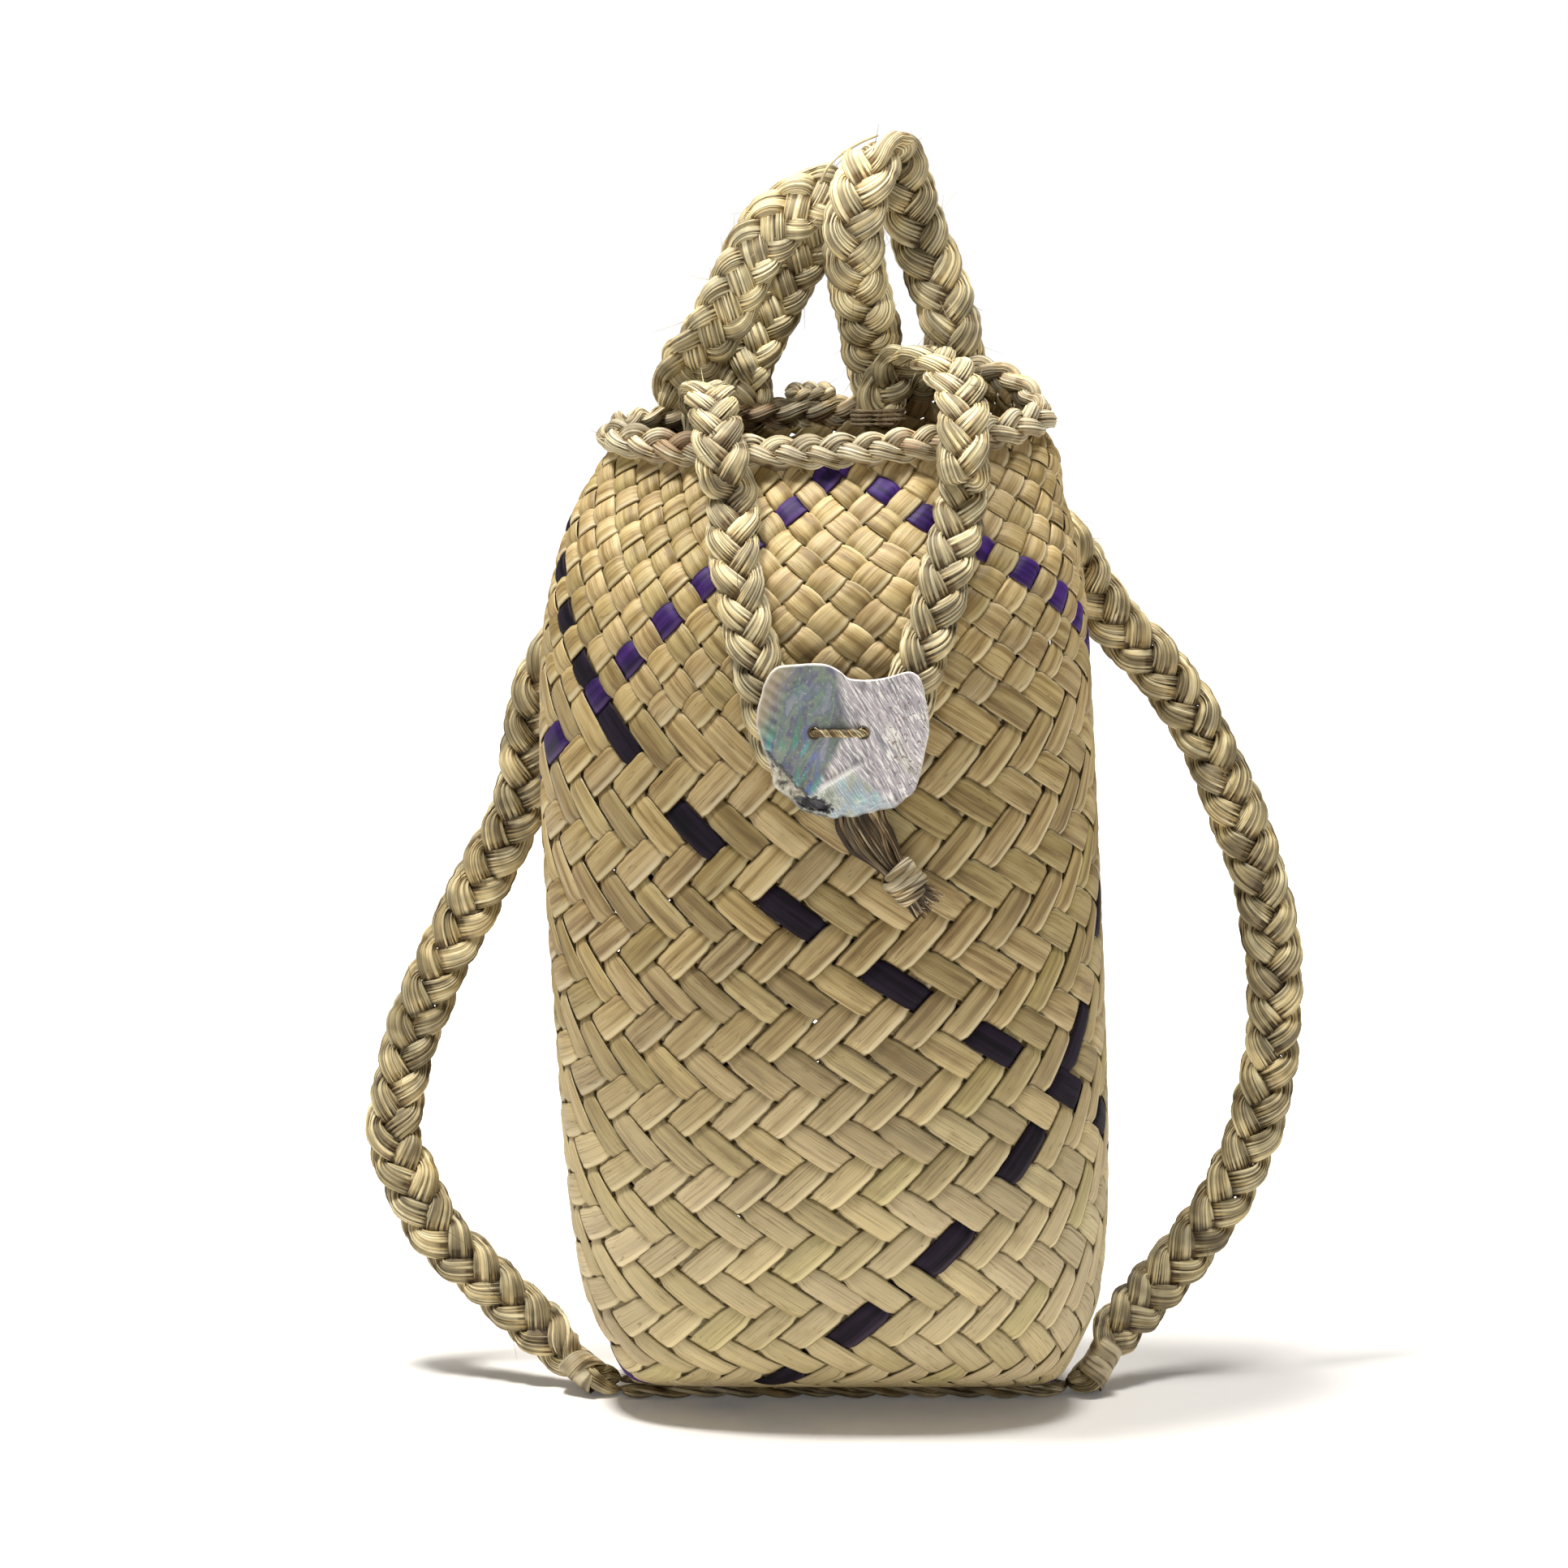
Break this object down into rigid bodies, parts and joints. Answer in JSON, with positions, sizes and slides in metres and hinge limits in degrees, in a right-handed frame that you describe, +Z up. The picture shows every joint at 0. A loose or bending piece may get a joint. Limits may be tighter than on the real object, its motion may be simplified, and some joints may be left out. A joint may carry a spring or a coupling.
{
  "type": "woven backpack",
  "caption": "Bias-woven flax bag with a plaited rim, two carry handles, two plaited shoulder straps and a plaited loop that hooks round a shell button.",
  "frame": {"origin": "middle of the flat underside of the base plait, where the bag stands", "axes": "+Z up through the mouth, -Y to the front where the shell button is, +X to the viewer's right as seen from the front"},
  "size_m": [0.3782, 0.172, 0.5016],
  "materials": {
    "woven_flax": "split flax leaf, satin, woven on the bias",
    "plaited_flax": "shredded flax fibre in three-strand plaits",
    "brown_plait": "leaf butts plaited round the rim, browner than the body",
    "twine": "two-ply flax twine",
    "shell": "polished sea shell with blue, green and purple play of colour"
  },
  "bodies": {
    "bag": {"woven_body": "woven_flax", "rim_plait": "brown_plait", "rim_plait_tail": "brown_plait", "base_plait": "woven_flax", "twine_knot": "twine"},
    "left_handle": {"left_handle": "plaited_flax"},
    "right_handle": {"right_handle": "plaited_flax"},
    "left_strap": {"left_shoulder_strap": "plaited_flax", "left_strap_tie": "twine", "left_corner_wrap": "woven_flax"},
    "right_strap": {"right_shoulder_strap": "plaited_flax", "right_strap_tie": "twine", "right_corner_wrap": "woven_flax"},
    "closure": {"closure_left_plait": "plaited_flax", "closure_right_plait": "plaited_flax", "closure_lashing": "twine", "closure_tail": "plaited_flax", "closure_binding": "twine"},
    "button": {"shell_button": "shell", "button_twine": "twine"}
  },
  "joints": [
    {"name": "left_handle_fold", "type": "hinge", "parent": "bag", "child": "left_handle", "pos_m": [-0.0631, 0.025, 0.3989], "axis": [-0.9676, -0.2503, -0.0316], "range_deg": [0, 75]},
    {"name": "right_handle_fold", "type": "hinge", "parent": "bag", "child": "right_handle", "pos_m": [0.0136, 0.0327, 0.40565], "axis": [0.9246, -0.1784, 0.3366], "range_deg": [0, 10]},
    {"name": "left_strap_swing", "type": "hinge", "parent": "bag", "child": "left_strap", "pos_m": [-0.0928, 0, 0.00495], "axis": [-0.148, -0.1515, -0.9773], "range_deg": [0, 50]},
    {"name": "right_strap_swing", "type": "hinge", "parent": "bag", "child": "right_strap", "pos_m": [0.0928, 0, 0.00495], "axis": [-0.1876, 0.1635, 0.9685], "range_deg": [0, 45]},
    {"name": "closure_lift", "type": "hinge", "parent": "bag", "child": "closure", "pos_m": [-0.0537, 0.0158, 0.3971], "axis": [-0.9927, -0.0752, -0.0944], "range_deg": [0, 25], "deforming": ["closure_left_plait", "closure_right_plait"]},
    {"name": "button_turn", "type": "hinge", "parent": "bag", "child": "button", "pos_m": [-0.003, -0.0878, 0.278], "axis": [0, -1, 0], "range_deg": [-20, 20]}
  ]
}
